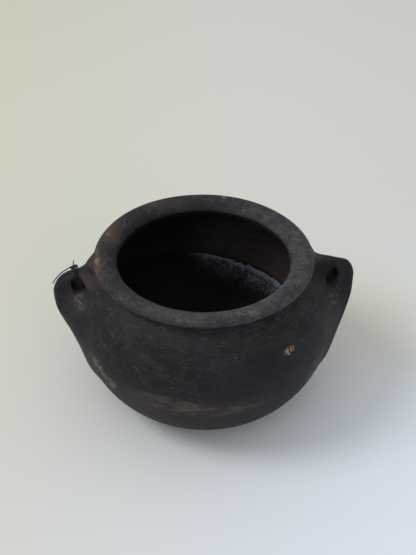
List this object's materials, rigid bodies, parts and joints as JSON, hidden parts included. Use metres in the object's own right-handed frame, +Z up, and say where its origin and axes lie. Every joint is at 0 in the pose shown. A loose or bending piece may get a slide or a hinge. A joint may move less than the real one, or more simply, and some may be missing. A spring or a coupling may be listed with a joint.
{
  "type": "ear-lugged olla",
  "caption": "Squat round-bottomed earthenware olla with a broad turned-out rim and a pierced ear lug on each side, one with a scrap of twine.",
  "frame": {"origin": "centre of the flat that the pot rests on", "axes": "+Z up out of the mouth, +X towards the right lug, +Y to the back"},
  "size_m": [0.1776, 0.152, 0.0965],
  "materials": {
    "clay": "burnished satin",
    "twine": "matt, worn fibre"
  },
  "bodies": {
    "root": {"lower_bowl": "clay", "belly_coil": "clay", "shoulder_coil": "clay", "neck_coil": "clay", "rim_coil": "clay", "left_lug": "clay", "right_lug": "clay", "twine": "twine", "twine_knot": "twine"}
  },
  "joints": []
}
